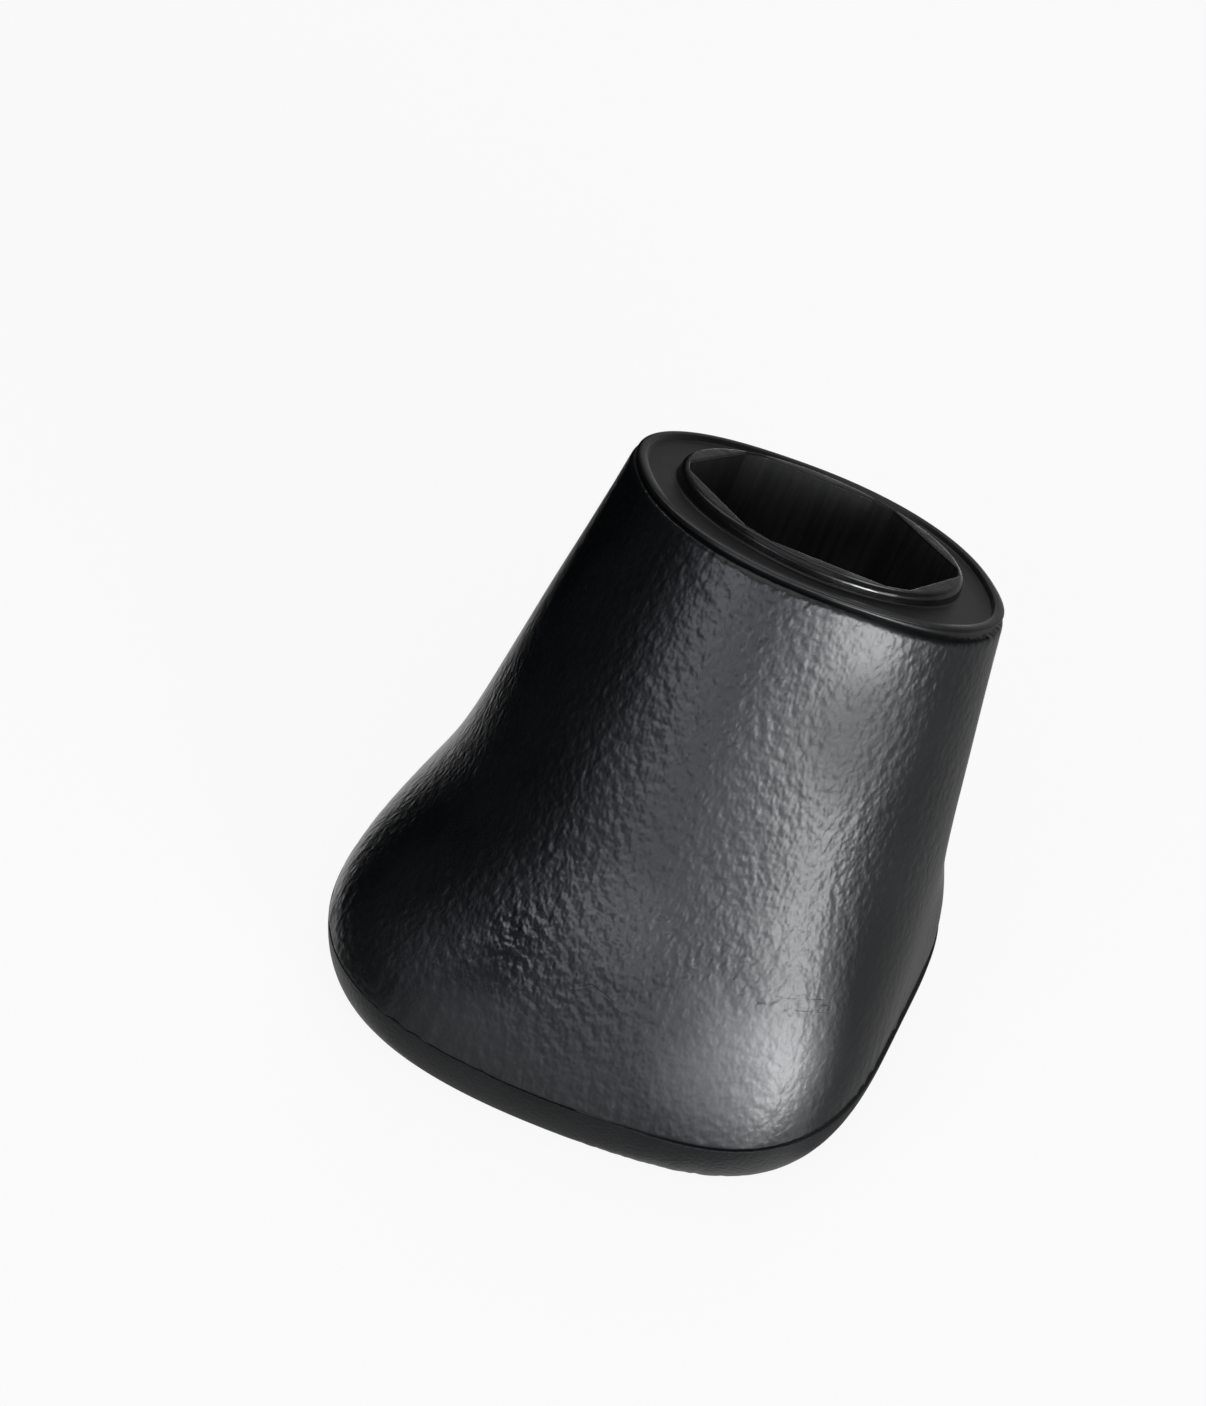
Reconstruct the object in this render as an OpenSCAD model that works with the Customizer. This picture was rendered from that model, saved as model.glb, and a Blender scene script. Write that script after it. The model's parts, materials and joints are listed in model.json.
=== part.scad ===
// Rubber foot for a kickstand leg: one moulded piece.
// A bell-shaped body flares from a near-round rim down to a rounded-square sole.
// The leg enters a six-sided blind socket whose axis leans back from upright.
// Origin: centre of the flat contact face. +Z up, -Y to the front.

/* [Sole] */
// Width of the foot at its lower parting line, side to side
base_w = 34.8; // [30:0.2:42]
// Depth of the foot at its lower parting line, front to back
base_d = 31.4; // [28:0.2:38]
// Squareness of the base outline: 2 is an ellipse, more is squarer
base_square = 3.4; // [2.4:0.1:5]
// Extra reach of the base toward the front
front_reach = 1.6; // [0:0.1:2.5]
// Extra reach of the base toward the left
left_reach = 0.5; // [0:0.1:1]
// Fullness of the front left and back right corners
corner_fill = 0.35; // [0:0.05:0.6]
// Crown in the middle of the front edge
front_crown = 0.2; // [0:0.05:0.4]
// Height of the lower parting line above the ground
sole_h = 5; // [4:0.1:7]
// How far the rounded edge draws in at the ground
sole_round = 2.6; // [1.6:0.1:4]

/* [Body] */
// Angle of the socket axis from upright
lean = 25.5; // [18:0.5:30]
// Direction of the lean, measured from +X toward +Y
lean_dir = 80; // [70:1:110]
// Length along the socket axis from parting line to rim
body_l = 26.7; // [24:0.1:34]
// Sideways offset of the rim from the axis through the base centre
rim_shift = -0.4; // [-1:0.1:1]
// Growth of the neck's radius from the rim down to the parting line
neck_taper = 4.7; // [3:0.1:6]
// Height over which the flare fades into the neck
flare_h = 6.2; // [5:0.1:8]
// Extra height of the flare on its tallest side
flare_extra = 3; // [0:0.1:3.6]
// Direction of the flare's tallest side
flare_dir = -45; // [-90:5:0]
// Sharpness of the bend from flare to neck
flare_bend = 2.2; // [1.6:0.1:3]

/* [Rim] */
// Width of the sunken top face between collar and bead
ledge_w = 1.8; // [0.8:0.1:3]
// Squareness of the rim outline
rim_square = 2.3; // [2:0.1:3]
// Turn of the rim outline about the socket axis
rim_turn = 27; // [0:1:90]
// Height of the bead at the rim
bead_h = 0.5; // [0.5:0.1:1.2]
// Width of the flat on top of the bead
bead_w = 0.3; // [0.2:0.05:0.6]
// Radius on the outer edge of the bead
bead_edge = 0.35; // [0.2:0.05:0.45]
// Depth of the top face below the bead
top_recess = 0.35; // [0.2:0.05:0.6]
// Depth of the two parting lines
line_depth = 0.2; // [0.1:0.05:0.3]
// Height of the two parting lines
line_h = 0.3; // [0.2:0.05:0.4]

/* [Socket] */
// Leg across its flats
leg_flats = 15.4; // [13.4:0.1:17]
// How much its rounded corners take off the leg's width across corners
leg_blunt = 0.8; // [0.4:0.1:1.6]
// Gap between leg and socket wall
leg_gap = 0.1; // [0:0.05:0.3]
// Solid rubber under the leg, from the parting line's level along the axis
pad_h = 6.7; // [5.5:0.1:10]
// Turn of the socket flats about the socket axis
socket_turn = 17; // [0:1:60]
// Wall of the collar at the socket's corners
collar_wall = 0.5; // [0.4:0.1:2]
// Height of the collar above the rim
collar_h = 0.5; // [0.4:0.1:1.5]
// Radius on the outer edge of the collar
collar_edge = 0.3; // [0.1:0.05:0.4]

/* [Hidden] */
steps_round = 96;
steps_body = 30;
steps_edge = 6;
socket_flats_r = leg_flats / 2 + leg_gap;
socket_corner_r = leg_flats / 2 / cos(30) - leg_blunt / 2 + leg_gap;
socket_depth = body_l - pad_h;
collar_r = socket_corner_r + collar_wall;
bead_slope = top_recess / 2;
rim_r = collar_r + ledge_w + bead_slope + bead_w + bead_edge;
seam_centre = [0, 0, sole_h];
axis_dir = [sin(lean) * cos(lean_dir), sin(lean) * sin(lean_dir), cos(lean)];
rim_centre = seam_centre + body_l * axis_dir + [rim_shift, 0, 0];
neck_top = 1 - (bead_h + line_h) / body_l;
angles = [for (i = [0 : steps_round - 1]) i * 360 / steps_round];
rubber_black = [0.11, 0.115, 0.12];

// Rounded rectangle in polar form: radius at angle a for half sizes x and y.
function squircle(a, x, y, n) = pow(pow(abs(cos(a) / x), n) + pow(abs(sin(a) / y), n), -1 / n);

// Base outline: the rounded rectangle, fuller at the front, the left and two corners.
function base_radius(a) = squircle(a, base_w / 2, base_d / 2, base_square)
    - left_reach * cos(a) - front_reach * sin(a)
    + corner_fill * sin(2 * a) + front_crown * sin(3 * a);

function rim_radius(a) = squircle(a - rim_turn, rim_r, rim_r, rim_square);

// Share of the flare that is left at height t: 1 at the parting line, 0 at the rim.
function fade(a, t) = exp(-pow(t * body_l / (flare_h + flare_extra * cos(a - flare_dir)), flare_bend));
function flare(a, t) = (fade(a, t) - fade(a, 1)) / (1 - fade(a, 1));

// Straight taper from rim to neck, with the flare on top of it.
function body_radius(a, t) = rim_radius(a) + neck_taper * (1 - t)
    + (base_radius(a) - rim_radius(a) - neck_taper) * flare(a, t);

// Turns a vector toward the lean direction by the given angle.
function turn_z(v, a) = [v.x * cos(a) - v.y * sin(a), v.x * sin(a) + v.y * cos(a), v.z];
function turn_y(v, a) = [v.x * cos(a) + v.z * sin(a), v.y, v.z * cos(a) - v.x * sin(a)];
function leaned(v, a) = turn_z(turn_y(turn_z(v, -lean_dir), a), lean_dir);

// Rings of points: upright in the sole, tilting through the body, square to the axis at the rim.
function flat_ring(radii, z) = [for (i = [0 : steps_round - 1])
    [radii[i] * cos(angles[i]), radii[i] * sin(angles[i]), z]];
function body_ring(t) = [for (a = angles)
    seam_centre + t * (rim_centre - seam_centre)
    + leaned(body_radius(a, t) * [cos(a), sin(a), 0], lean * t)];
function rim_ring(inset, h) = [for (a = angles)
    rim_centre + leaned([(rim_radius(a) - inset) * cos(a), (rim_radius(a) - inset) * sin(a), h], lean)];

// Sole: quarter-round edge up to the lower parting line.
function sole_ring(q) = flat_ring(
    [for (a = angles) base_radius(a) - sole_round * (1 - cos(q))],
    (sole_h - line_h) * (1 - sin(q)));
sole_rings = [for (i = [0 : steps_edge]) sole_ring(90 - 90 * i / steps_edge)];
line_ring = flat_ring([for (a = angles) base_radius(a) - line_depth], sole_h - line_h / 2);

// Body, then the bead with its rounded edge and the step down to the top face.
body_rings = [for (i = [0 : steps_body]) body_ring(neck_top * i / steps_body)];
bead_rings = [
    rim_ring(line_depth, -bead_h - line_h / 2),
    rim_ring(0, -bead_h),
    for (i = [0 : steps_edge])
        rim_ring(bead_edge * (1 - cos(90 * i / steps_edge)), bead_edge * (sin(90 * i / steps_edge) - 1)),
    rim_ring(bead_edge + bead_w, 0),
    rim_ring(bead_edge + bead_w + bead_slope, -top_recess)];

rings = concat(sole_rings, [line_ring], body_rings, bead_rings);
last_ring = len(rings) - 1;

// Corner number i on ring k, counted round and round.
function corner(k, i) = k * steps_round + i % steps_round;
side_faces = [for (k = [0 : last_ring - 1], i = [0 : steps_round - 1], half = [0, 1])
    half == 0 ? [corner(k, i), corner(k + 1, i), corner(k + 1, i + 1)]
              : [corner(k, i), corner(k + 1, i + 1), corner(k, i + 1)]];
ground_face = [for (i = [0 : steps_round - 1]) corner(0, i)];
top_face = [for (i = [0 : steps_round - 1]) corner(last_ring, steps_round - 1 - i)];

// Outer form from the ground to the sunken top face.
module foot_form() {
    polyhedron(
        points = [for (ring = rings) each ring],
        faces = concat(side_faces, [ground_face, top_face]),
        convexity = 6);
}

// Places children on the socket axis, with Z = 0 at the rim.
module at_rim() {
    translate(rim_centre)
        rotate([0, 0, lean_dir])
            rotate([0, lean, 0])
                rotate([0, 0, -lean_dir])
                    children();
}

// Raised collar round the socket mouth, with a rounded outer edge.
module collar() {
    root = 1;
    low = -top_recess - root;
    rotate_extrude($fn = steps_round)
        union() {
            translate([0, low])
                square([collar_r, collar_h - collar_edge - low]);
            translate([0, low])
                square([collar_r - collar_edge, collar_h - low]);
            translate([collar_r - collar_edge, collar_h - collar_edge])
                circle(r = collar_edge, $fn = 32);
        }
}

// Room for the leg: six flats with rounded corners.
module leg_space() {
    over = 1;
    depth = socket_depth + collar_h + over;
    translate([0, 0, -socket_depth])
        rotate([0, 0, socket_turn])
            intersection() {
                cylinder(h = depth, r = socket_flats_r / cos(30), $fn = 6);
                cylinder(h = depth, r = socket_corner_r, $fn = steps_round);
            }
}

module rubber_foot() {
    color(rubber_black)
        difference() {
            union() {
                foot_form();
                at_rim()
                    collar();
            }
            at_rim()
                leg_space();
        }
}

rubber_foot();
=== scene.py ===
# %% [markdown]
# # A rubber foot for a kickstand leg
# The foot is one moulding of black rubber. A bell-shaped body spreads from a round rim
# to a rounded-square sole, and the leg is pressed into a six-sided hole in its top.
# The engineering model is already made, so this lesson starts by loading it.
# It gives the place and the size of everything, and it never moves or changes.

# %% Load the imported model
import json
import math

import bpy
import numpy as np
from mathutils import Matrix, Vector, noise

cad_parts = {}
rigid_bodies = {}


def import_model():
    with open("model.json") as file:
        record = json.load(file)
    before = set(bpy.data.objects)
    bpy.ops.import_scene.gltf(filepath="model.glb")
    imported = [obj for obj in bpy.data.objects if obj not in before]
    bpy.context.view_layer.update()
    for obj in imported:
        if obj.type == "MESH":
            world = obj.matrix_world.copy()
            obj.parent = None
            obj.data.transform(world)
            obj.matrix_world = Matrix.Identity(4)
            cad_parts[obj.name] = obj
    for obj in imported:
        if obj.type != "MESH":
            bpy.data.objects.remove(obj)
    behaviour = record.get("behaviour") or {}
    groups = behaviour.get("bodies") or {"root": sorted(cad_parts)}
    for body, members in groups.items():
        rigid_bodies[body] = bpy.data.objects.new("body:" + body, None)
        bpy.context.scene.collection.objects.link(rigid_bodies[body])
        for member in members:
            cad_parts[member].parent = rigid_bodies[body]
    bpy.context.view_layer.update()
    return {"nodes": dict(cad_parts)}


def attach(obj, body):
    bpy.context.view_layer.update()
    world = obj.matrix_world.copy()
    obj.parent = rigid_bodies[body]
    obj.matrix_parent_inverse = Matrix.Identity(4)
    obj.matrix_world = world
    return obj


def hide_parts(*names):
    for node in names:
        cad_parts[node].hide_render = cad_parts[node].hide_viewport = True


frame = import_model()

MM = 0.001
print("nodes:", sorted(frame["nodes"]))

# %% [markdown]
# ## The sizes
# The solid model was made from named sizes, and the same ones are used again here, in
# millimetres. A looser way would be to sculpt over the solid by eye. Working from the sizes keeps
# the rubber's skin exactly on the solid.

# %% Sizes of the moulding, in millimetres and degrees
base_w, base_d, base_square = 34.8, 31.4, 3.4
front_reach, left_reach, corner_fill, front_crown = 1.6, 0.5, 0.35, 0.2
sole_h, sole_round = 5.0, 2.6
lean, lean_dir, body_l, rim_shift = 25.5, 80.0, 26.7, -0.4
neck_taper, flare_h, flare_extra, flare_dir, flare_bend = 4.7, 6.2, 3.0, -45.0, 2.2
rim_square, rim_turn, bead_w, bead_edge, top_recess = 2.3, 27.0, 0.3, 0.35, 0.35
ledge_w, leg_flats, leg_blunt, leg_gap, pad_h = 1.8, 15.4, 0.8, 0.1, 6.7
socket_turn, collar_wall, collar_h, collar_edge = 17.0, 0.5, 0.5, 0.3

socket_flats_r = leg_flats / 2 + leg_gap
socket_corner_r = leg_flats / 2 / math.cos(math.radians(30)) - leg_blunt / 2 + leg_gap
socket_depth = body_l - pad_h
collar_r = socket_corner_r + collar_wall
bead_slope = top_recess / 2
rim_r = collar_r + ledge_w + bead_slope + bead_w + bead_edge
print("rim radius:", round(rim_r, 3), "socket depth:", socket_depth)

# %% [markdown]
# ## Which way the socket points
# The sole lies flat and the rim is square to the leg, so the body leans back between
# them. One unit vector along the leg and two centres describe the whole lean.

# %% The leg's axis and the centres of the two ends
lean_to = math.radians(lean_dir)
lean_by = math.radians(lean)
axis = np.array([
    math.sin(lean_by) * math.cos(lean_to),
    math.sin(lean_by) * math.sin(lean_to),
    math.cos(lean_by),
])
seam_centre = np.array([0.0, 0.0, sole_h])
rim_centre = seam_centre + body_l * axis + np.array([rim_shift, 0.0, 0.0])
print("axis:", axis.round(3), "rim centre:", rim_centre.round(3))

# %% [markdown]
# ## Rings of points
# The outside of the foot has no flat sides and no plain curve, so it is lofted: ring after
# ring of points is stacked from the ground to the rim, and faces join each ring to the
# next. Every ring has a point at the same angles, so the faces come out as tidy squares.
# The base and the rim are rounded squares, and the skin is drawn a hair smaller than the
# solid, so that it never pokes out of the box that was tested.

# %% Outlines of the base and the rim
AROUND = 360
SNUG = 0.006
turn = np.radians(np.arange(AROUND) * 360.0 / AROUND)
outward = np.stack([np.cos(turn), np.sin(turn), 0 * turn], axis=-1)


def squircle(angle, x, y, squareness):
    """Radius of a rounded rectangle with half sizes x and y."""
    across = np.abs(np.cos(angle) / x) ** squareness
    along = np.abs(np.sin(angle) / y) ** squareness
    return (across + along) ** (-1 / squareness)


base_radius = (
    squircle(turn, base_w / 2, base_d / 2, base_square)
    - left_reach * np.cos(turn) - front_reach * np.sin(turn)
    + corner_fill * np.sin(2 * turn) + front_crown * np.sin(3 * turn)
) - SNUG
rim_radius = squircle(turn - math.radians(rim_turn), rim_r, rim_r, rim_square) - SNUG
collar_r = collar_r - SNUG
print("base across:", round(base_radius[0] + base_radius[180], 2))
print("base deep:", round(base_radius[90] + base_radius[270], 2))

# %% [markdown]
# ## From the base to the rim
# The flare dies away with height, and it reaches higher at the front right than anywhere
# else. A ring lies flat in the sole, tilts bit by bit through the body, and is square to
# the socket at the rim, just as the rubber leans back to meet the leg.


# %% The flare, and the tilt of each ring
def fade(t):
    """How much of the flare is left at height t, where 0 is the seam and 1 the rim."""
    reach = flare_h + flare_extra * np.cos(turn - math.radians(flare_dir))
    return np.exp(-((t * body_l / reach) ** flare_bend))


def body_radius(t):
    """Radius of the body at height t, all round."""
    flare = (fade(t) - fade(1)) / (1 - fade(1))
    neck = rim_radius + neck_taper * (1 - t)
    return neck + (base_radius - rim_radius - neck_taper) * flare


def column(values):
    """One number for each point of a ring, ready to multiply its vectors."""
    return np.broadcast_to(values, turn.shape)[:, None]


def tilted(vectors, angle):
    """Vectors leaned toward the back by an angle, as the socket is."""
    away = np.array([math.cos(lean_to), math.sin(lean_to), 0.0])
    side = np.cross([0.0, 0.0, 1.0], away)
    return (
        vectors * np.cos(column(angle))
        + np.cross(side, vectors) * np.sin(column(angle))
        + np.outer(vectors @ side, side) * (1 - np.cos(column(angle)))
    )


print("flare left half-way up:", round(float(fade(0.5).max()), 3))

# %% [markdown]
# ## Kinds of rings
# Three small functions make every ring of the foot: a flat one for the sole, a leaning one
# for the body, and one square to the leg for the rim and the socket. A list keeps the
# rings from the ground up, and next to each the finish of the faces below it.

# %% The three kinds of rings, and the stack
UPWARD = np.array([0.0, 0.0, 1.0])
SOLE, BODY, BEAD, TOP, COLLAR, SOCKET = range(6)
rings, zones = [], []


def sole_ring(radius, height):
    """A flat ring at a height above the ground."""
    return outward * column(radius) + UPWARD * column(height)


def body_ring(height, inset=0.0):
    """A ring of the body at a height along the axis above the seam."""
    t = height / body_l
    centre = seam_centre + column(t) * (rim_centre - seam_centre)
    return centre + tilted(outward * column(body_radius(t) - inset), lean_by * t)


def rim_ring(radius, height):
    """A ring square to the leg. Height 0 is the top of the rim."""
    return rim_centre + tilted(outward * column(radius) + UPWARD * column(height), lean_by)


def stack(points, zone):
    """Adds one ring. The faces below it get the zone's finish."""
    rings.append(np.asarray(points, float))
    zones.append(zone)


def arc(steps, first=0.0, last=90.0):
    """Evenly spaced angles, which round off an edge in that many steps."""
    return [math.radians(first + (last - first) * i / steps) for i in range(steps + 1)]


print("finishes of the skin:", SOCKET + 1)

# %% [markdown]
# ## The uneven seam
# The sole meets the body at a seam, the parting line where the two halves of the mould
# closed. It is never quite even. At the front right the body hangs a little over an open
# line. Elsewhere the sole stands proud as a thin ledge, with scraps of flash along it and
# small burrs at the front. That unevenness is worth modelling, because it is the line the
# eye follows. Each trait is one number for every direction round the foot, so they can
# simply be added. A direction is in degrees, with 0 at the right and 90 at the back, and a
# size is in millimetres.


# %% Traits of the seam, all round the foot
def ripple(seed, wave, power):
    """A closed wavy line of numbers from 0 to 1, with waves of about that many mm."""
    size = base_w / 2 / wave
    values = [noise.noise(Vector((math.cos(a) * size, math.sin(a) * size, seed))) for a in turn]
    return np.clip(0.5 + np.array(values), 0, 1) ** power


def bump_at(direction, width):
    """1 at a direction in degrees, falling smoothly to 0 on both sides."""
    apart = (np.degrees(turn) - direction + 180) % 360 - 180
    return np.exp(-((apart / width) ** 2))


OPEN_AT, WIDE_AT, NICKED_AT = (-54.0, 11.0), ((-45, 26), (0, 50), (90, 50)), (-62, 16)
BURRS = (
    (-119.5, 1.4, 1.0), (-115, 0.9, 0.8), (-105, 2.0, 0.7),
    (-101, 0.9, 1.0), (-72.5, 1.4, 0.7), (-69.5, 0.9, 0.8),
)
BURR_RISE, BURR_SHUTS = 0.1, 0.5
LEDGE_MEAN, LEDGE_MORE_RIGHT, LEDGE_LOST = 0.13, 0.09, 0.2
OVERHANG, FLASH_DEPTH, NICK_DEPTH = 0.06, 0.1, 0.1

open_side = bump_at(*OPEN_AT)
line_side = np.clip(sum(bump_at(*where) for where in WIDE_AT), 0, 1)
burr = sum(size * bump_at(direction, width) for direction, width, size in BURRS)


def along_seam(least, where_wide, where_open):
    """A size in millimetres that grows where the line is wide and where it opens."""
    return least + where_wide * line_side + where_open * open_side


line_gap = along_seam(0.025, 0.065, 0.24) * (1 - BURR_SHUTS * np.minimum(burr, 1))
line_in = along_seam(0.06, 0.1, 0.3)
lip = along_seam(0.05, 0.07, 0.0)
ledge = np.maximum(LEDGE_MEAN + LEDGE_MORE_RIGHT * np.cos(turn) - LEDGE_LOST * open_side, 0)
overhang = OVERHANG * open_side
flash = FLASH_DEPTH * ripple(3.1, 0.6, 2.5) * (1 - open_side)
nick = NICK_DEPTH * ripple(7.3, 0.5, 2.0) * bump_at(*NICKED_AT)
print("the line gapes from", line_gap.min().round(3), "to", line_gap.max().round(3), "mm")

# %% [markdown]
# ## The sole
# Flat rings close the underside, then an arc rounds the lower edge. Sharp steps are never
# really sharp in rubber, so the sole's upper lip gets a small rounding of its own before
# the rings turn in under the body.

# %% Rings of the sole
CONTACT_SHARES = (0.1, 0.25, 0.45, 0.65, 0.82, 0.94, 1.0)
SEAM_STEP = 0.02

contact = base_radius - sole_round
sole_top = sole_h - line_gap
for share in CONTACT_SHARES:
    stack(sole_ring(contact * share, 0.0), SOLE)
for q in arc(14, first=90, last=0)[1:]:
    z = (sole_top - lip) * (1 - math.sin(q))
    drawn_in = sole_round * (1 - math.cos(q)) + overhang * (1 - math.sin(q)) ** 3
    stack(sole_ring(base_radius - drawn_in - nick * math.sin(2 * q), z), SOLE)
for q in arc(5)[1:]:
    z = sole_top - lip + lip * math.sin(q) + BURR_RISE * burr * math.sin(q)
    stack(sole_ring(base_radius - overhang - lip * (1 - math.cos(q)), z), SOLE)
seam_bottom = base_radius - line_in - lip
stack(sole_ring(seam_bottom, sole_top + SEAM_STEP), SOLE)
stack(sole_ring(seam_bottom, sole_h - SEAM_STEP), BODY)
print("rings after the sole:", len(rings))

# %% [markdown]
# ## The body
# Above the seam the body starts with its own lip and draws in over the ledge. A hundred
# rings then carry the bell shape. Each point is sunk a little by smooth noise, since no
# moulding is perfectly even, and one low swelling is raised at the front. The noise fades
# out near both lines, so that their lips stay crisp. Under the rim the body's upper edge
# is softly rounded into the second line, which is thin at the left and opens toward the
# right.

# %% Rings of the body
BODY_RINGS, RING_SPREAD = 100, 1.15
LEDGE_FADE = 1.4
UNEVEN_DEPTH, UNEVEN_WAVE = 0.06, 6.0
CALM_ABOVE_SEAM, CALM_BELOW_RIM = 3.0, 2.0
SWELL_AT, SWELL_REACH, SWELL_BY = (0.9, -12.5, 13.4), 2.8, 0.1
RIM_OPEN_DIR, RIM_OPEN_WIDTH, RIM_OPEN_BY = -20.0, 38, 0.55
RIM_LINE_LEAST, RIM_LINE_IN = 0.14, 0.5
BEAD_WALL, BEAD_WALL_LOST, BEAD_WALL_FALL = 0.32, 0.2, 1.6
EDGE_DROP, EDGE_IN = 0.34, 0.17

rim_open = np.maximum(np.cos(turn - math.radians(RIM_OPEN_DIR)), 0) ** BEAD_WALL_FALL
bead_wall = BEAD_WALL - BEAD_WALL_LOST * rim_open
rim_line_gap = RIM_LINE_LEAST + RIM_OPEN_BY * bump_at(RIM_OPEN_DIR, RIM_OPEN_WIDTH)
rim_line_low = body_l - bead_wall - rim_line_gap
body_first, body_last = lip, rim_line_low - EDGE_DROP


def body_draw(height):
    """How far the body draws in above the ledge."""
    return np.maximum(ledge - flash, 0) * np.exp(-height / LEDGE_FADE)


for q in arc(5):
    height = lip * (1 - math.cos(q))
    stack(body_ring(height, lip * (1 - math.sin(q)) + body_draw(height)), BODY)
for share in (np.arange(1, BODY_RINGS + 1) / BODY_RINGS) ** RING_SPREAD:
    height = body_first + (body_last - body_first) * share
    ring = body_ring(height, body_draw(height))
    calm_low = np.clip(height / CALM_ABOVE_SEAM, 0, 1)
    calm_high = np.clip((body_last - height) / CALM_BELOW_RIM, 0, 1)
    waves = np.array([0.5 + 0.5 * noise.noise(Vector(point / UNEVEN_WAVE)) for point in ring])
    far = np.sum((ring - SWELL_AT) ** 2, axis=1)
    sink = calm_low * calm_high * UNEVEN_DEPTH * waves
    sink = sink - SWELL_BY * np.exp(-far / SWELL_REACH**2)
    stack(ring - tilted(outward * column(sink), lean_by * height / body_l), BODY)
for q in arc(7)[1:]:
    height = rim_line_low - EDGE_DROP * (1 - math.sin(q))
    stack(body_ring(height, EDGE_IN * (1 - math.cos(q))), BODY)
print("rings after the body:", len(rings))

# %% [markdown]
# ## The rim and the sunken top
# The bead is a rounded lip over the second line. Inside it the top face lies a little
# lower, and a small fillet leads up to the collar round the leg.

# %% Rings of the bead and the top face
RIM_STEP = 0.01
BEAD_BACK, BEAD_UNDERCUT, BEAD_START = 0.06, 0.08, -30
BEAD_INNER_SLOPE = ((0.3, 0.12), (0.7, 0.75), (1.0, 0.96))
TOP_EDGE, COLLAR_FOOT = 0.1, 0.15
TOP_RINGS = 5

line_bottom = rim_radius - RIM_LINE_IN
stack(rim_ring(line_bottom, rim_line_low - body_l + RIM_STEP), BODY)
stack(rim_ring(line_bottom, -bead_wall - RIM_STEP), BEAD)
bead_out = rim_radius - BEAD_BACK
stack(rim_ring(bead_out - BEAD_UNDERCUT, -bead_wall), BEAD)
bead_span = 1 - math.sin(math.radians(BEAD_START))
for q in arc(9, first=BEAD_START):
    height = -SNUG - bead_wall * (1 - math.sin(q)) / bead_span
    stack(rim_ring(bead_out - (bead_edge - BEAD_BACK) * (1 - math.cos(q)), height), BEAD)
bead_in = rim_radius - bead_edge - bead_w
stack(rim_ring(bead_in, -SNUG), BEAD)
for share, drop in BEAD_INNER_SLOPE:
    stack(rim_ring(bead_in - bead_slope * share, -top_recess * drop), TOP)

top_out = bead_in - bead_slope - TOP_EDGE
for share in np.arange(TOP_RINGS + 1) / TOP_RINGS:
    stack(rim_ring(top_out + (collar_r + COLLAR_FOOT - top_out) * share, -top_recess), TOP)
for q in arc(4)[1:]:
    height = -top_recess + COLLAR_FOOT * (1 - math.cos(q))
    stack(rim_ring(collar_r + COLLAR_FOOT * (1 - math.sin(q)), height), TOP)
print("rings after the top face:", len(rings))

# %% [markdown]
# ## The collar and the socket
# The collar's shoulder is round. Its flat top narrows from a circle to a six-sided mouth
# with blunt corners, the mouth's edge is rounded too, and the walls go straight down to
# the pad that the leg stands on.

# %% Rings of the collar and the socket
MOUTH_EDGE, FLOOR_EDGE, COLLAR_SOFTNESS = 0.15, 0.4, 1.4
WALL_RINGS = 24
COLLAR_SHARES, FLOOR_SHARES = (0.35, 0.7), (0.75, 0.5, 0.25, 0.08)

collar_round = COLLAR_SOFTNESS * collar_edge
collar_in = collar_r - collar_round
for q in arc(8):
    height = collar_h - collar_round * (1 - math.sin(q))
    stack(rim_ring(collar_r - collar_round * (1 - math.cos(q)), height), COLLAR)

from_flat = np.abs((np.degrees(turn) - socket_turn) % 60 - 30)
mouth = np.minimum(socket_flats_r / np.cos(np.radians(from_flat)), socket_corner_r)
for share in COLLAR_SHARES:
    stack(rim_ring(collar_in + (mouth + MOUTH_EDGE - collar_in) * share, collar_h), COLLAR)
for q in arc(5):
    height = collar_h - MOUTH_EDGE * (1 - math.cos(q))
    stack(rim_ring(mouth + MOUTH_EDGE * (1 - math.sin(q)), height), COLLAR)

wall_top, wall_bottom = collar_h - MOUTH_EDGE, FLOOR_EDGE - socket_depth
for share in np.arange(1, WALL_RINGS + 1) / WALL_RINGS:
    stack(rim_ring(mouth, wall_top + (wall_bottom - wall_top) * share), SOCKET)
for q in arc(5)[1:]:
    height = -socket_depth + FLOOR_EDGE * (1 - math.sin(q))
    stack(rim_ring(mouth - FLOOR_EDGE * (1 - math.cos(q)), height), SOCKET)
for share in FLOOR_SHARES:
    stack(rim_ring((mouth - FLOOR_EDGE) * share, -socket_depth), SOCKET)
print("rings:", len(rings), "points:", len(rings) * AROUND)

# %% [markdown]
# ## One closed skin
# The stack becomes a single mesh. Each end is closed with a fan of triangles, so the skin
# has no hole and no loose face, which is what a moulded piece is. The finish of each face
# is kept as a material number, because the mould was polished in some places and
# textured in others, and those areas end exactly at the parting lines.


# %% Build the mesh
def add_object(name, data):
    """Makes an object of a mesh, a lamp or a camera, and puts it in the scene."""
    thing = bpy.data.objects.new(name, data)
    bpy.context.scene.collection.objects.link(thing)
    return thing


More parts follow.
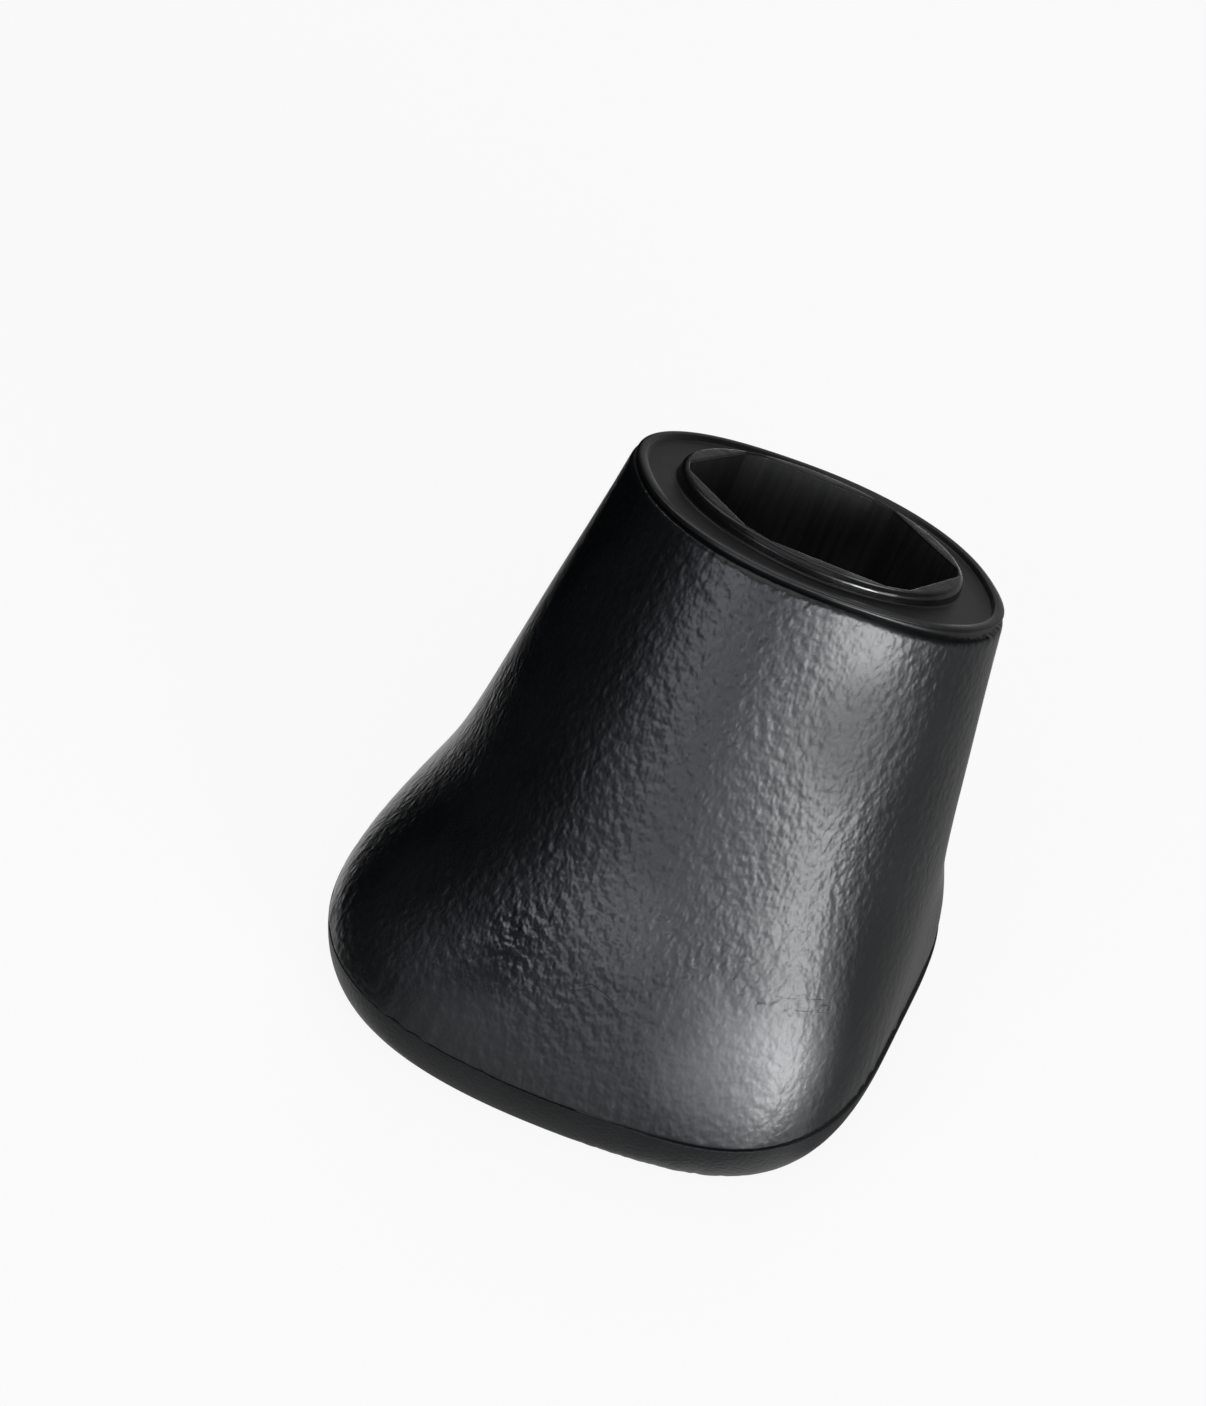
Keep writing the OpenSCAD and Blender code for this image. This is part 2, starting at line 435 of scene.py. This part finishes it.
def skin_mesh(name, stacked, face_zones, low_centre, high_centre):
    """Joins each ring to the next, and closes both ends at their centres."""
    points = np.concatenate([np.concatenate(stacked), [low_centre, high_centre]]) * MM
    low, high = len(points) - 2, len(points) - 1
    last = (len(stacked) - 1) * AROUND
    faces, finish = [], []
    for k in range(len(stacked) - 1):
        here, above = k * AROUND, (k + 1) * AROUND
        for i in range(AROUND):
            j = (i + 1) % AROUND
            faces.append((here + i, here + j, above + j, above + i))
            finish.append(face_zones[k + 1])
    for i in range(AROUND):
        j = (i + 1) % AROUND
        faces.append((low, j, i))
        finish.append(face_zones[0])
        faces.append((high, last + i, last + j))
        finish.append(face_zones[-1])
    mesh = bpy.data.meshes.new(name)
    mesh.from_pydata(points.tolist(), [], faces)
    mesh.polygons.foreach_set("material_index", finish)
    mesh.polygons.foreach_set("use_smooth", [True] * len(faces))
    mesh.update()
    mesh.validate()
    return mesh


ground_centre = np.zeros(3)
floor_centre = rim_centre - socket_depth * axis
foot_mesh = skin_mesh("rubber_skin", rings, zones, ground_centre, floor_centre)
foot_skin = add_object("rubber_skin", foot_mesh)
print("triangles:", sum(len(p.vertices) - 2 for p in foot_mesh.polygons))

# %% [markdown]
# ## Shader sums as plain Python
# A finish is worked out from sums on the surface: how high a point is, how deep the grain.
# Nodes can be placed by hand, but a long sum is then hard to read. Here a small class
# stands for a wire between nodes, and adding or multiplying wires adds the Math nodes.


# %% A wire that can be added and multiplied
class Wire:
    """One output socket. Sums on wires add Math nodes."""

    def __init__(self, tree, socket=None):
        self.tree, self.socket = tree, socket

    def node(self, kind, settings=None, inputs=None, out=0):
        """Adds any node: its settings first, then the values or wires of its sockets."""
        node = self.tree.nodes.new("ShaderNode" + kind)
        for name, value in (settings or {}).items():
            setattr(node, name, value)
        for name, value in (inputs or {}).items():
            if isinstance(value, Wire):
                self.tree.links.new(value.socket, node.inputs[name])
            else:
                node.inputs[name].default_value = value
        return Wire(self.tree, node.outputs[out]) if node.outputs else None

    def math(self, operation, *others):
        """A Math node, with this wire first."""
        return self.node("Math", {"operation": operation}, dict(enumerate((self, *others))))

    def vector(self, operation, other, out=0):
        """A Vector Math node, with this wire first."""
        return self.node("VectorMath", {"operation": operation}, {0: self, 1: other}, out)

    def times(self, vector):
        """A fixed vector, made longer by this wire."""
        return self.node("VectorMath", {"operation": "SCALE"}, {0: vector, "Scale": self})

    def __add__(self, other):
        return self.math("ADD", other)

    def __mul__(self, other):
        return self.math("MULTIPLY", other)

    def __sub__(self, other):
        return self.math("SUBTRACT", other)

    def __rsub__(self, other):
        return self.node("Math", {"operation": "SUBTRACT"}, {0: other, 1: self})

    __radd__, __rmul__ = __add__, __mul__

    def between(self, low, high):
        """0 below low, 1 above high, and a smooth climb from one to the other."""
        settings = {"interpolation_type": "SMOOTHSTEP"}
        return self.node("MapRange", settings, {"Value": self, "From Min": low, "From Max": high})

    def blend(self, first, second):
        """This wire's share of the second colour over the first."""
        inputs = {0: self, 6: first, 7: second}
        return self.node("Mix", {"data_type": "RGBA"}, inputs, out=2)


print("wires ready")

# %% [markdown]
# ## The start and the end of a finish
# Every finish starts from each surface point's place in millimetres, so that sizes in the
# sums below can be read like sizes on the part. Every finish ends in one surface shader.


# %% Helpers that every finish uses
def grey(level, blue=1.0):
    """A grey, with its blue part raised a little where the rubber is cool."""
    return (level, level * (1 + (blue - 1) / 2), level * blue, 1.0)


def empty_material(name):
    """A material without nodes, and a wire to start adding them."""
    material = bpy.data.materials.new(name)
    material.use_nodes = True
    material.node_tree.nodes.clear()
    return material, Wire(material.node_tree)


def new_finish(name):
    """An empty material, and a wire with each surface point's place in millimetres."""
    material, start = empty_material(name)
    place = start.node("TexCoord", out="Object")
    return material, place.node("VectorMath", {"operation": "SCALE"}, {0: place, "Scale": 1 / MM})


def finish_off(material, values):
    """Adds the surface shader and joins it to the output."""
    start = Wire(material.node_tree)
    surface = start.node("BsdfPrincipled", inputs=values)
    start.node("OutputMaterial", inputs={"Surface": surface})
    return material


def soft_noise(place, scale, detail):
    """Smooth noise from 0 to 1. A larger scale gives smaller clouds."""
    return place.node("TexNoise", {}, {"Vector": place, "Scale": scale, "Detail": detail})


def raised(height, depth):
    """Tilts the surface as if its height went up by that many millimetres."""
    return height.node("Bump", {}, {"Strength": 1.0, "Distance": depth * MM, "Height": height})


def along_axis(place, share):
    """The place with its run along the leg cut by a share, which draws patterns out."""
    run = place.vector("DOT_PRODUCT", tuple(axis), out="Value")
    return place.vector("SUBTRACT", (run * share).times(tuple(axis)))


print("shader helpers ready")

# %% [markdown]
# ## Wear by hand and by use
# Use has changed the grained rubber in places, each given as a centre, a reach and a
# strength, with the first two in millimetres. Handling has polished four patches, the
# grain is worn shallow low on both sides, and it stands out more on the low swelling at
# the front. A few fine scratches cross the brightest patch and the swelling.


# %% Where the grain is polished, deep, dull or scratched
SHINY_SPOTS = (
    ((10.9, -12.2, 9.6), 7.0, 1.0),
    ((8.0, 1.4, 31.6), 3.6, 0.45),
    ((1.0, -11.4, 15.4), 4.5, 0.3),
    ((9.9, -8.0, 15.6), 3.6, 0.2),
)
DEEP_SPOTS = (
    ((-0.3, -12.8, 13.2), 7.0, 0.75),
    ((-8.5, -15.5, 7.5), 7.5, -0.55),
    ((14.8, -3.5, 9.5), 9.0, -0.5),
    ((-9.0, -10.8, 13.5), 6.0, -0.3),
    ((-5.4, -13.9, 11.0), 5.0, -0.35),
)
SHALLOWEST = 0.35
DULL_SPOTS = (
    ((-4.5, -17.1, 5.0), 7.0, 0.14),
    ((3.5, -17.0, 5.5), 6.0, 0.1),
    ((10.2, -0.8, 26.2), 5.5, 0.14),
    ((-9.0, -10.8, 13.5), 6.0, -0.06),
    ((-6.0, -14.0, 10.7), 5.0, -0.11),
)
SCRATCHES = (
    ((9.89, -10.47, 12.76), (13.5, -7.9, 12.2), 0.22),
    ((10.67, -9.76, 13.06), (13.18, -7.93, 12.58), 0.1),
    ((11.99, -9.4, 12.35), (13.65, -8.08, 11.84), 0.12),
    ((-0.11, -14.01, 11.31), (0.91, -13.61, 11.83), 0.1),
    ((0.91, -13.61, 11.83), (2.24, -13.7, 11.43), 0.1),
)
SCRATCH_WIDTH = 0.09
CORE, CLOUDY = 0.25, 0.8


def spot(place, cloud, centre, size, strength):
    """The strength at a centre in millimetres, falling to 0 at a cloudy edge."""
    reach = place.vector("DISTANCE", centre, out="Value")
    ragged = reach + (cloud - 0.5) * size * CLOUDY
    return (1 - ragged.between(size * CORE, size)) * strength


def all_spots(place, cloud, spots):
    """The strengths of a list of spots, added up."""
    return sum(spot(place, cloud, *where) for where in spots)


def scratch(place, start, end):
    """1 along a fine line between two points, in millimetres, and 0 away from it."""
    run = Vector(end) - Vector(start)
    from_start = place.vector("SUBTRACT", start)
    share = from_start.vector("DOT_PRODUCT", tuple(run / run.length_squared), out="Value")
    nearest = share.math("MAXIMUM", 0.0).math("MINIMUM", 1.0).times(tuple(run))
    gap = from_start.vector("DISTANCE", nearest, out="Value")
    return 1 - gap.between(0.0, SCRATCH_WIDTH)


print("spots:", len(SHINY_SPOTS + DEEP_SPOTS + DULL_SPOTS), "scratches:", len(SCRATCHES))

# %% [markdown]
# ## The grained body
# The body's mould was etched with a fine leather grain, so the black rubber has a satin
# sheen that breaks into small glints. Each wrinkle is about half a millimetre. A picture of
# leather could be wrapped round it, but it would stretch at the flare. A grain made from
# noise in space is even everywhere. It is drawn out a little along the leg, and noise and
# rounded cells are added together so that it doesn't look printed.


# %% Grained rubber
GRAIN_PULL = 0.25
WRINKLES = {"Scale": 2.2, "Detail": 1.0, "Roughness": 0.5, "Distortion": 0.0}
CELLS = {"Scale": 1.7, "Smoothness": 1.0, "Randomness": 1.0}
WRINKLE_SHARE, CELL_SHARE, FINE_SHARE = 0.8, 0.4, 0.05
GRAIN_DEPTH = 0.08
SATIN, SATIN_CLOUD, SATIN_FINE = 0.31, 0.08, 0.1


def grain_height(place, cloud):
    """Height of the leather grain, less the scratches."""
    drawn = along_axis(place, GRAIN_PULL)
    wrinkle = drawn.node("TexNoise", {"noise_dimensions": "3D"}, {"Vector": drawn, **WRINKLES})
    cells = drawn.node("TexVoronoi", {"feature": "SMOOTH_F1"}, {"Vector": drawn, **CELLS})
    deeper = (1 + all_spots(place, cloud, DEEP_SPOTS)).math("MAXIMUM", SHALLOWEST)
    height = (wrinkle * WRINKLE_SHARE - cells * CELL_SHARE) * deeper
    for start, end, depth in SCRATCHES:
        height = height - scratch(place, start, end) * depth
    return height


def grained_rubber():
    material, place = new_finish("grained_rubber")
    cloud = soft_noise(place, 0.16, 3.0)
    fine = soft_noise(place, 4.0, 2.0)
    colour = cloud.between(0.35, 0.7).blend(grey(0.0038, 1.35), grey(0.0058, 1.3))
    worn = SATIN + all_spots(place, cloud, DULL_SPOTS)
    height = grain_height(place, cloud) + fine * FINE_SHARE
    return finish_off(material, {
        "Base Color": colour,
        "Roughness": worn + (cloud - 0.5) * SATIN_CLOUD + (fine - 0.5) * SATIN_FINE,
        "IOR": 1.56,
        "Normal": raised(height, GRAIN_DEPTH),
        "Coat Weight": all_spots(place, cloud, SHINY_SPOTS),
        "Coat Roughness": 0.46,
        "Coat IOR": 1.66,
    })


grained = grained_rubber()
print("grained rubber has", len(grained.node_tree.nodes), "nodes")

# %% [markdown]
# ## The smooth places
# The sole, the bead and the sunken top face came from plainer mould steel. They are the
# same rubber without the leather grain, a more even charcoal, and the sole is slightly
# roughened by the ground. The collar round the socket is smoother, because it is squeezed
# against the leg, and one place at its front is polished. Inside the socket the rubber is
# dull and dark, with faint marks along the way the leg is pushed in.


# %% Smooth, glossy and rubbed rubber
POLISHED_SPOT = ((7.5, 5.2, 31.9), 3.2, 1.0)
RUB_PULL = 0.93


def smooth_rubber(name, dark, light, dullness, density, roughened):
    """Plain moulded rubber. Roughened is a depth in millimetres."""
    material, place = new_finish(name)
    cloud = soft_noise(place, 0.3, 4.0)
    fine = soft_noise(place, 3.5, 3.0)
    return finish_off(material, {
        "Base Color": cloud.between(0.3, 0.7).blend(dark, light),
        "Roughness": dullness + (cloud - 0.5) * 0.12,
        "IOR": density,
        "Normal": raised(fine, roughened),
    })


def glossy_rubber():
    """The collar, squeezed smooth by the leg."""
    material, place = new_finish("glossy_rubber")
    cloud = soft_noise(place, 0.5, 3.0)
    return finish_off(material, {
        "Base Color": cloud.between(0.3, 0.7).blend(grey(0.005, 1.05), grey(0.009, 1.05)),
        "Roughness": 0.24 + (cloud - 0.4) * 0.15,
        "IOR": 1.4,
        "Normal": raised(cloud, 0.08),
        "Coat Weight": spot(place, cloud, *POLISHED_SPOT),
        "Coat Roughness": 0.1,
        "Coat IOR": 1.8,
    })


def rubbed_rubber():
    """The socket's wall, streaked along the leg."""
    material, place = new_finish("rubbed_rubber")
    streak = soft_noise(along_axis(place, RUB_PULL), 3.0, 3.0)
    return finish_off(material, {
        "Base Color": streak.between(0.35, 0.7).blend(grey(0.008), grey(0.016)),
        "Roughness": 0.55 + (streak - 0.5) * 0.2,
        "IOR": 1.45,
        "Normal": raised(streak, 0.02),
    })


finishes = {
    SOLE: smooth_rubber("sole_rubber", grey(0.005, 1.15), grey(0.008, 1.15), 0.5, 1.33, 0.06),
    BODY: grained,
    BEAD: smooth_rubber("bead_rubber", grey(0.004, 1.1), grey(0.006, 1.1), 0.32, 1.56, 0.01),
    TOP: smooth_rubber("top_rubber", grey(0.006), grey(0.009), 0.42, 1.52, 0.012),
    COLLAR: glossy_rubber(),
    SOCKET: rubbed_rubber(),
}
for zone in sorted(finishes):
    foot_mesh.materials.append(finishes[zone])
print("finishes:", [m.name for m in foot_mesh.materials])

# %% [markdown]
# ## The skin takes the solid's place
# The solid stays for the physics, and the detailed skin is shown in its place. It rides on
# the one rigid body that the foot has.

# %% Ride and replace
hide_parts("rubber_foot")
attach(foot_skin, "root")
print("skin rides on root")

# %% [markdown]
# ## A plain pale floor
# The floor is a wide, pale sheet that takes the foot's soft shadow. To the camera, and in
# anything shiny, most of its colour is white light of strength 1, so it stays pale
# without flooding the foot with more lamps.


# %% Floor
FLOOR_HALF, FLOOR_TOP = 3.0, -0.00002
PAPER_WHITE, WHITE_SHARE = 0.9, 0.9


def four_cornered(name, corners, material):
    """One flat sheet with four corners, in metres."""
    mesh = bpy.data.meshes.new(name)
    mesh.from_pydata(corners, [], [(0, 1, 2, 3)])
    mesh.materials.append(material)
    return add_object(name, mesh)


def pale_paper():
    """White paper that looks white to the camera, however little light falls on it."""
    material, start = empty_material("pale_floor")
    kinds = ("Is Camera Ray", "Is Glossy Ray", "Is Transmission Ray")
    camera_ray, glossy_ray, clear_ray = (start.node("LightPath", out=kind) for kind in kinds)
    seen = (camera_ray + glossy_ray + clear_ray) * WHITE_SHARE
    paper = start.node("BsdfDiffuse", inputs={"Color": grey(PAPER_WHITE)})
    white = start.node("Emission", inputs={"Color": grey(1.0), "Strength": 1.0})
    surface = start.node("MixShader", inputs={0: seen, 1: paper, 2: white})
    start.node("OutputMaterial", inputs={"Surface": surface})
    return material


signs = ((-1, -1), (1, -1), (1, 1), (-1, 1))
floor_corners = [(x * FLOOR_HALF, y * FLOOR_HALF, FLOOR_TOP) for x, y in signs]
floor = four_cornered("floor", floor_corners, pale_paper())
print("floor ready")

# %% [markdown]
# ## Cards that only reflections see
# Black rubber mirrors what it stands on, so a white sheet alone would turn its shaded sides grey.
# A studio stands dark cards round a black product for that reason. The four cards here are
# glowing sheets that only reflections can see, so they are painted reflections: black at the left
# and dim grey at the right, front and back, which keeps the shaded sides dark. They throw no
# shadow and light nothing directly, and the floor still shows white under them. Each has a
# strength of glow, from 0 for black to 1 for white, and two edges in metres, the one near the
# foot first.


# %% Cards and the world
# Painted reflections: glowing sheets that only reflections see, black at the left and dim grey
# elsewhere.
CARDS = (
    ("left_card", 0.0, ((-0.03, -0.05, 0), (-0.03, 0.11, 0)),
     ((-0.137, -0.14, 0.075), (-0.137, 0.14, 0.075))),
    ("right_card", 0.3, ((0.016, -0.012, 0), (0.016, 0.12, 0)),
     ((0.13, 0.0, 0.05), (0.13, 0.16, 0.05))),
    ("front_card", 0.38, ((-0.03, -0.016, 0), (0.03, -0.016, 0)),
     ((-0.12, -0.15, 0.003), (0.12, -0.15, 0.003))),
    ("back_card", 0.19, ((-0.07, 0.1, 0), (0.07, 0.1, 0)),
     ((-0.14, 0.25, 0.03), (0.14, 0.25, 0.03))),
)
WORLD_LIGHT = 0.045


def reflection_glow_card(name, glow, near_edge, far_edge):
    """A sheet that leans away from the foot and glows at a set strength. Only reflections see it,
    as a painted black or dim grey reflection.
    """
    material, start = empty_material(name)
    # The sheet's emission is the painted reflection that glossy rays see.
    surface = start.node("Emission", inputs={"Color": grey(1.0), "Strength": glow})
    start.node("OutputMaterial", inputs={"Surface": surface})
    card = four_cornered(name, [*near_edge, *reversed(far_edge)], material)
    card.visible_camera = card.visible_shadow = card.visible_diffuse = False


for card_row in CARDS:
    reflection_glow_card(*card_row)

world = bpy.data.worlds.new("studio")
bpy.context.scene.world = world
world.use_nodes = True
backdrop = world.node_tree.nodes["Background"]
backdrop.inputs["Color"].default_value = grey(1.0)
backdrop.inputs["Strength"].default_value = WORLD_LIGHT
print("cards:", len(CARDS), "world light:", WORLD_LIGHT)

# %% [markdown]
# ## Soft boxes
# A black satin thing shows its lights more than its colour, so each lamp is placed where
# its mirror image should fall. A tall soft box at the front right makes the long streak,
# with weaker ones above, below and at its left so that the streak fades softly. Broad,
# slightly cool boxes in front and at the front left give the even grey, and stop early,
# so the left flank stays dark. Weak ones overhead and behind keep the other sides
# readable. Nothing here is bright enough to wash out a pale colour.
#
# Azimuth 0 is in front and 90 at the right. Wide and tall are the degrees that a lamp
# covers, as seen from the foot.

# %% Lights
LAMP_DISTANCE = 0.5
LAMP_AIM = Vector((0, 0, 0.015))
KEEN, COOL, WHITE = (0.98, 0.995, 1.02), (0.93, 0.97, 1.08), (1.0, 1.0, 1.0)
LAMPS = (
    # name, azimuth, elevation, wide, tall, brightness, tint
    ("key_box", 59, 10.5, 18, 22, 10.7, KEEN),
    ("key_high", 42, 25, 38, 11, 4.3, KEEN),
    ("key_corner", 44, 19, 11, 7, 9.5, KEEN),
    ("key_low", 44, 5, 14, 10, 2.4, KEEN),
    ("key_edge", 80, 10, 25, 20, 2.1, KEEN),
    ("right_fill", 24, 10, 28, 18, 1.7, COOL),
    ("front_fill", -1, 20, 22, 22, 1.8, COOL),
    ("front_left", -23, 27.5, 26, 15, 3.1, COOL),
    ("left_fill", -46, 24, 24, 14, 0.42, COOL),
    ("low_left", -45, 4, 28, 8, 0.17, COOL),
    ("back_fill", 176, 11, 40, 18, 0.13, WHITE),
    ("back_high", -170, 40, 60, 24, 1.4, WHITE),
    ("top_box", 0, 80, 56, 56, 0.85, WHITE),
)


def softbox(name, azimuth, elevation, wide, tall, brightness, tint):
    """A rectangular lamp that faces the foot."""
    a, e = math.radians(azimuth), math.radians(elevation)
    away = Vector((math.sin(a) * math.cos(e), -math.cos(a) * math.cos(e), math.sin(e)))
    lamp = bpy.data.lights.new(name, "AREA")
    lamp.shape = "RECTANGLE"
    lamp.size = 2 * LAMP_DISTANCE * math.tan(math.radians(wide) / 2)
    lamp.size_y = 2 * LAMP_DISTANCE * math.tan(math.radians(tall) / 2)
    lamp.energy = brightness * math.pi * lamp.size * lamp.size_y
    lamp.color = tint
    box = add_object(name, lamp)
    box.location = LAMP_AIM + away * LAMP_DISTANCE
    box.rotation_mode = "QUATERNION"
    box.rotation_quaternion = away.to_track_quat("Z", "Y")


for lamp_row in LAMPS:
    softbox(*lamp_row)
print("lamps:", [name for name, *_ in LAMPS])

# %% [markdown]
# ## The camera
# It looks down on the front right of the foot at about 45 degrees, with a slight roll, from
# a hand's length away through a short telephoto lens. Distances are in millimetres, and
# they are measured from the centre of the seam.

# %% Camera
azimuth, elevation, roll = math.radians(17.349), math.radians(44.851), math.radians(11.247)
distance, aside, above = 184.458, -3.374, 12.468
SENSOR_WIDTH, FOCAL_LENGTH = 36.0, 75.568
NEAREST, FARTHEST = 0.01, 20.0

upright = Vector((0, 0, 1))
level_right = Vector((math.cos(azimuth), math.sin(azimuth), 0))
toward = Vector((math.sin(azimuth), -math.cos(azimuth), 0))
back = toward * math.cos(elevation) + upright * math.sin(elevation)
level_up = upright * math.cos(elevation) - toward * math.sin(elevation)
right = level_right * math.cos(roll) + level_up * math.sin(roll)
up = level_up * math.cos(roll) - level_right * math.sin(roll)
eye = Vector(seam_centre) + right * aside + up * above + back * distance

lens = bpy.data.cameras.new("camera")
lens.sensor_width, lens.lens = SENSOR_WIDTH, FOCAL_LENGTH
lens.clip_start, lens.clip_end = NEAREST, FARTHEST
camera = add_object("camera", lens)
pose = Matrix((right, up, back)).transposed().to_4x4()
pose.translation = eye * MM
camera.matrix_world = pose
bpy.context.scene.camera = camera
bpy.context.scene.view_settings.view_transform = "Standard"
print("camera at", [round(v, 4) for v in camera.location])
